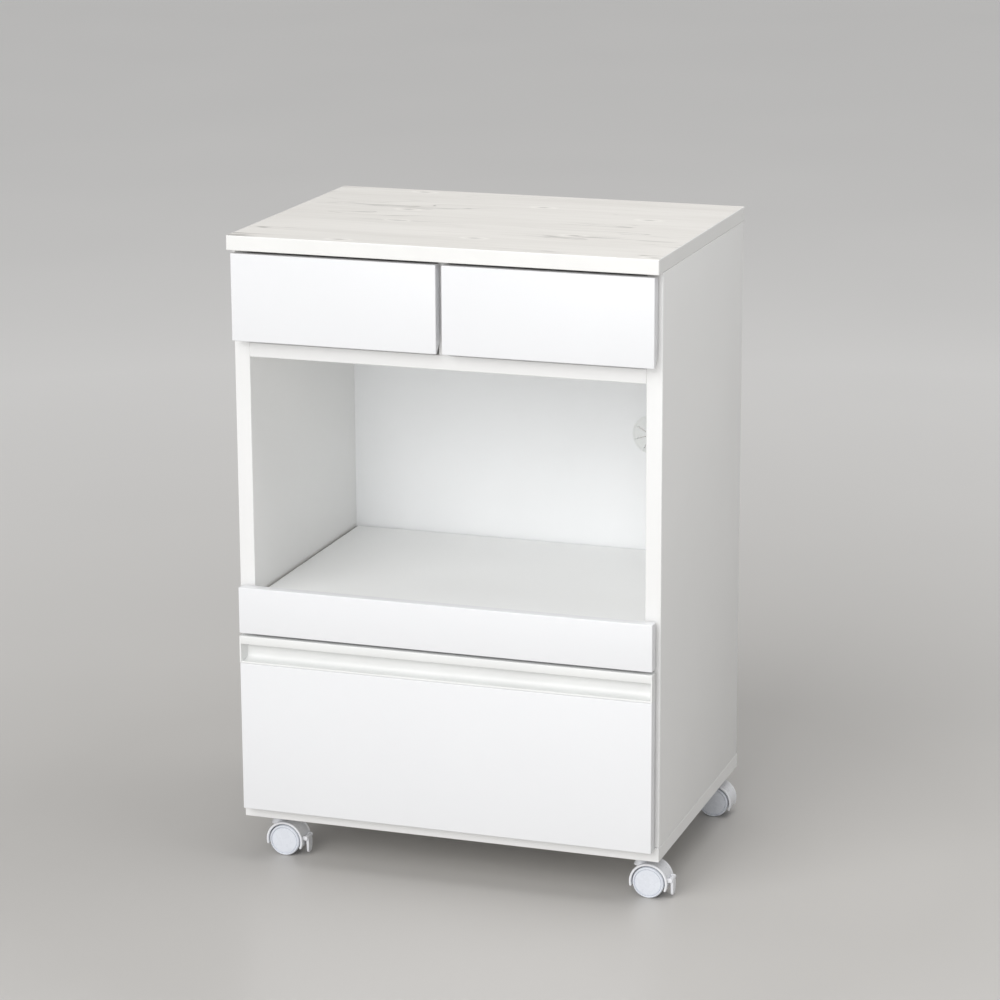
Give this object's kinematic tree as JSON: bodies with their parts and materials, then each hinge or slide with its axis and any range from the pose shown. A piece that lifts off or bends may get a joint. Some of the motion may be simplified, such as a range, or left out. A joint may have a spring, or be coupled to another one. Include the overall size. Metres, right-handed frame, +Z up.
{
  "type": "microwave stand with drawers",
  "caption": "Kitchen cabinet on casters: shallow drawers under the top, open microwave bay with a pull-out tray, deep drawer with a recessed handle.",
  "frame": {"origin": "middle of the footprint, on the floor", "axes": "+Z up, +X to the right seen from the front, +Y to the back"},
  "size_m": [0.6186, 0.43, 0.885],
  "materials": {
    "board_white": "melamine faced board, satin",
    "front_white": "smooth white satin foil",
    "top_laminate": "whitewashed wood grain laminate, matt",
    "edge_white": "smooth edge band",
    "back_white": "painted hardboard",
    "handle_white": "satin moulded channel",
    "port_white": "moulded plastic",
    "membrane_grey": "soft rubber",
    "slide_steel": "zinc plated",
    "screw_steel": "zinc plated",
    "guide_plastic": "smooth",
    "bumper_clear": "soft",
    "caster_white": "moulded, slight sheen",
    "wheel_grey": "moulded"
  },
  "bodies": {
    "cabinet": {"top_panel": "top_laminate", "top_edge_band": "edge_white", "side_left": "board_white", "side_right": "board_white", "bottom_panel": "board_white", "drawer_shelf": "board_white", "middle_shelf": "board_white", "partition": "board_white", "back_panel_upper": "back_white", "back_panel_lower": "back_white", "cable_port_ring": "port_white", "cable_port_flaps": "membrane_grey", "drawer_guides": "guide_plastic", "tray_slide_outer": "slide_steel", "lower_slide_outer": "slide_steel", "cam_locks": "screw_steel", "base_screws": "screw_steel", "slide_screws": "screw_steel", "caster_plates": "screw_steel", "caster_screws": "screw_steel"},
    "left_drawer": {"left_drawer_front": "front_white", "left_drawer_sides": "board_white", "left_drawer_back": "board_white", "left_drawer_bottom": "back_white", "left_drawer_bumpers": "bumper_clear"},
    "right_drawer": {"right_drawer_front": "front_white", "right_drawer_sides": "board_white", "right_drawer_back": "board_white", "right_drawer_bottom": "back_white", "right_drawer_bumpers": "bumper_clear"},
    "tray": {"tray_front": "front_white", "tray_board": "board_white", "tray_rails": "board_white", "tray_slide_inner": "slide_steel", "tray_bumpers": "bumper_clear"},
    "tray_slide_middle": {"tray_slide_mid": "slide_steel"},
    "lower_drawer": {"lower_drawer_front": "front_white", "handle_channel": "handle_white", "handle_caps": "handle_white", "lower_drawer_sides": "board_white", "lower_drawer_back": "board_white", "lower_drawer_bottom": "back_white", "lower_slide_inner": "slide_steel", "lower_drawer_bumpers": "bumper_clear"},
    "lower_slide_middle": {"lower_slide_mid": "slide_steel"},
    "caster_fl": {"caster_fl_hood": "caster_white"},
    "caster_fl_roller": {"caster_fl_wheels": "wheel_grey", "caster_fl_axle": "screw_steel"},
    "caster_fr": {"caster_fr_hood": "caster_white"},
    "caster_fr_roller": {"caster_fr_wheels": "wheel_grey", "caster_fr_axle": "screw_steel"},
    "caster_rl": {"caster_rl_hood": "caster_white"},
    "caster_rl_roller": {"caster_rl_wheels": "wheel_grey", "caster_rl_axle": "screw_steel"},
    "caster_rr": {"caster_rr_hood": "caster_white"},
    "caster_rr_roller": {"caster_rr_wheels": "wheel_grey", "caster_rr_axle": "screw_steel"},
    "caster_fl_brake": {"caster_fl_lever": "caster_white"},
    "caster_fr_brake": {"caster_fr_lever": "caster_white"}
  },
  "joints": [
    {"name": "left_drawer_slide", "type": "slide", "parent": "cabinet", "child": "left_drawer", "axis": [0, -1, 0], "range_m": [0, 0.26]},
    {"name": "right_drawer_slide", "type": "slide", "parent": "cabinet", "child": "right_drawer", "axis": [0, -1, 0], "range_m": [0, 0.26]},
    {"name": "tray_slide", "type": "slide", "parent": "cabinet", "child": "tray", "axis": [0, -1, 0], "range_m": [0, 0.3]},
    {"name": "tray_slide_follow", "type": "slide", "parent": "cabinet", "child": "tray_slide_middle", "axis": [0, -1, 0], "range_m": [0, 0.15]},
    {"name": "lower_drawer_slide", "type": "slide", "parent": "cabinet", "child": "lower_drawer", "axis": [0, -1, 0], "range_m": [0, 0.3]},
    {"name": "lower_slide_follow", "type": "slide", "parent": "cabinet", "child": "lower_slide_middle", "axis": [0, -1, 0], "range_m": [0, 0.15]},
    {"name": "caster_fl_swivel", "type": "hinge", "parent": "cabinet", "child": "caster_fl", "pos_m": [-0.265, -0.159, 0.05], "axis": [0, 0, 1], "continuous": true},
    {"name": "caster_fl_roll", "type": "hinge", "parent": "caster_fl", "child": "caster_fl_roller", "pos_m": [-0.251, -0.159, 0.022], "axis": [0, 1, 0], "continuous": true},
    {"name": "caster_fr_swivel", "type": "hinge", "parent": "cabinet", "child": "caster_fr", "pos_m": [0.265, -0.159, 0.05], "axis": [0, 0, 1], "continuous": true},
    {"name": "caster_fr_roll", "type": "hinge", "parent": "caster_fr", "child": "caster_fr_roller", "pos_m": [0.279, -0.159, 0.022], "axis": [0, 1, 0], "continuous": true},
    {"name": "caster_rl_swivel", "type": "hinge", "parent": "cabinet", "child": "caster_rl", "pos_m": [-0.265, 0.176, 0.05], "axis": [0, 0, 1], "continuous": true},
    {"name": "caster_rl_roll", "type": "hinge", "parent": "caster_rl", "child": "caster_rl_roller", "pos_m": [-0.279, 0.176, 0.022], "axis": [0, 1, 0], "continuous": true},
    {"name": "caster_rr_swivel", "type": "hinge", "parent": "cabinet", "child": "caster_rr", "pos_m": [0.265, 0.176, 0.05], "axis": [0, 0, 1], "continuous": true},
    {"name": "caster_rr_roll", "type": "hinge", "parent": "caster_rr", "child": "caster_rr_roller", "pos_m": [0.279, 0.176, 0.022], "axis": [0, 1, 0], "continuous": true},
    {"name": "caster_fl_brake_lift", "type": "hinge", "parent": "caster_fl", "child": "caster_fl_brake", "pos_m": [-0.2214, -0.159, 0.026], "axis": [0, -1, 0], "range_deg": [0, 25]},
    {"name": "caster_fr_brake_lift", "type": "hinge", "parent": "caster_fr", "child": "caster_fr_brake", "pos_m": [0.3086, -0.159, 0.026], "axis": [0, -1, 0], "range_deg": [0, 25]}
  ],
  "couplings": [
    {"joint": "tray_slide_follow", "follows": "tray_slide", "ratio": 0.5},
    {"joint": "lower_slide_follow", "follows": "lower_drawer_slide", "ratio": 0.5}
  ]
}
